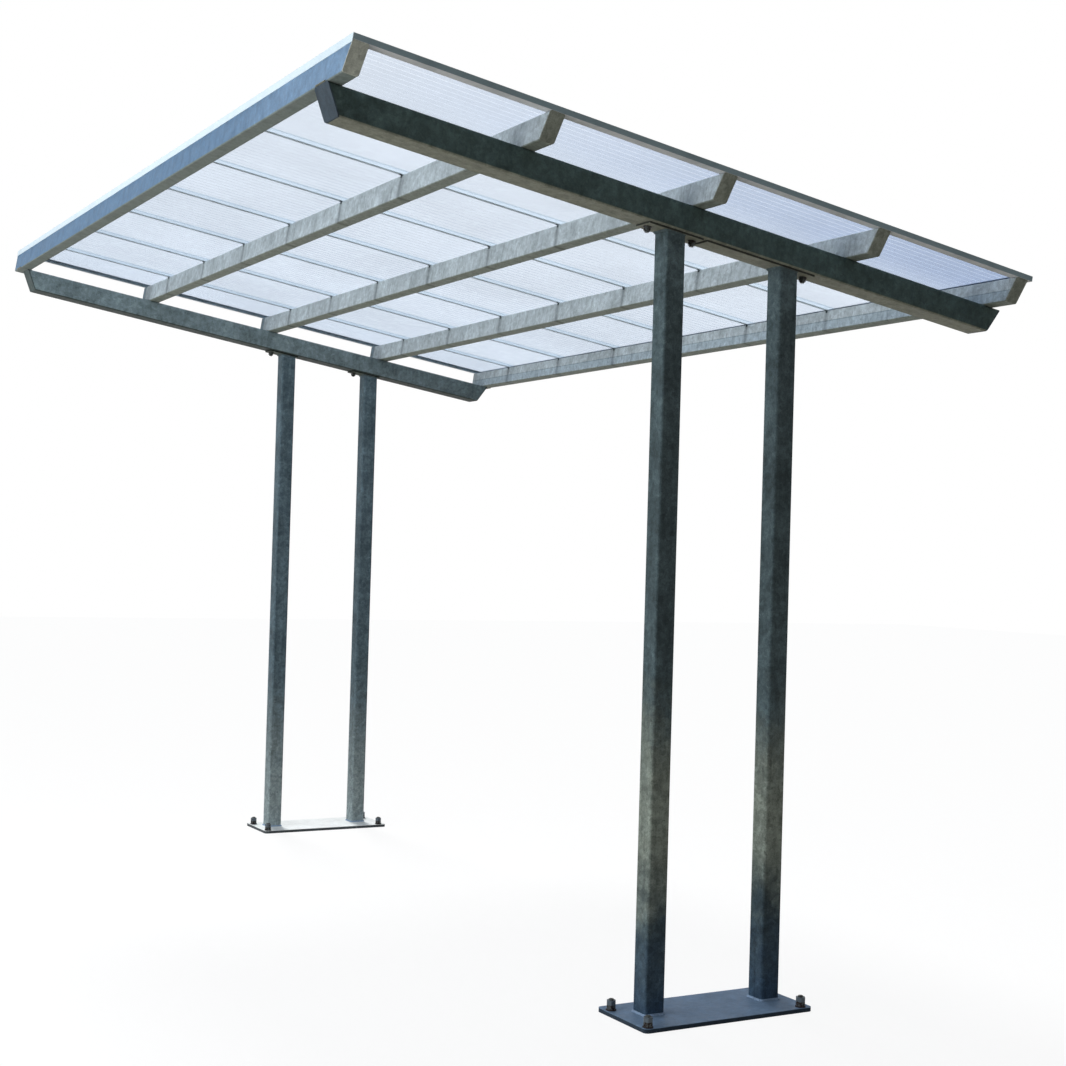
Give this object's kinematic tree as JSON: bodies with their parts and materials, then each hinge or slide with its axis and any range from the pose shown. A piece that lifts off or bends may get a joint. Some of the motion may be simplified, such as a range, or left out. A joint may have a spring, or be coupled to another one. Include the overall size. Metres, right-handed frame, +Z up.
{
  "type": "metal carport",
  "caption": "Open metal carport with two portal frames of square posts, sloping beams, level rafters and a fluted translucent roof that falls to one side.",
  "frame": {"origin": "middle of the ground rectangle that the whole carport stands over, at the underside of the base plates", "axes": "+X down the roof slope in plan, +Y from the near frame to the far frame along the rafters, +Z up"},
  "size_m": [2.8512, 4.501, 3.1289],
  "materials": {
    "clips": "small dark steel clips",
    "edge_metal": "mill-finish folded aluminium, dulled by weather",
    "fasteners": "zinc-plated steel with brown rust at the washers",
    "frame_steel": "hot-dip galvanised, weathered to a dull blue-grey",
    "joint_plastic": "extruded polycarbonate, clear, greyed by dirt",
    "rafter_steel": "hot-dip galvanised with a mottled pale grey spangle",
    "roof_boards": "clear fluted multiwall polycarbonate, slightly milky",
    "welds": "weld bead under zinc, uneven and a little shiny"
  },
  "bodies": {
    "root": {"anchor_lock_nuts": "fasteners", "anchor_nuts": "fasteners", "anchor_studs": "fasteners", "anchor_washers": "fasteners", "far_base_plate": "frame_steel", "far_beam": "frame_steel", "far_beam_end_caps": "frame_steel", "far_edge_trim": "edge_metal", "far_high_head_plate": "frame_steel", "far_high_post": "frame_steel", "far_low_head_plate": "frame_steel", "far_low_post": "frame_steel", "foot_welds": "welds", "head_bolts": "fasteners", "head_nuts": "fasteners", "head_washers": "fasteners", "head_welds": "welds", "high_edge_flashing": "edge_metal", "joint_clips": "clips", "joint_profiles": "joint_plastic", "low_edge_trim": "edge_metal", "near_base_plate": "frame_steel", "near_beam": "frame_steel", "near_beam_end_caps": "frame_steel", "near_edge_trim": "edge_metal", "near_high_head_plate": "frame_steel", "near_high_post": "frame_steel", "near_low_head_plate": "frame_steel", "near_low_post": "frame_steel", "rafter_1": "rafter_steel", "rafter_2": "rafter_steel", "rafter_3": "rafter_steel", "rafter_4": "rafter_steel", "rafter_5": "rafter_steel", "rafter_far_caps": "rafter_steel", "rafter_near_caps": "rafter_steel", "rafter_welds": "welds", "roof_board_1": "roof_boards", "roof_board_2": "roof_boards", "roof_board_3": "roof_boards", "roof_board_4": "roof_boards", "roof_board_5": "roof_boards", "roof_board_6": "roof_boards", "roof_board_7": "roof_boards", "roof_board_8": "roof_boards"}
  },
  "joints": []
}
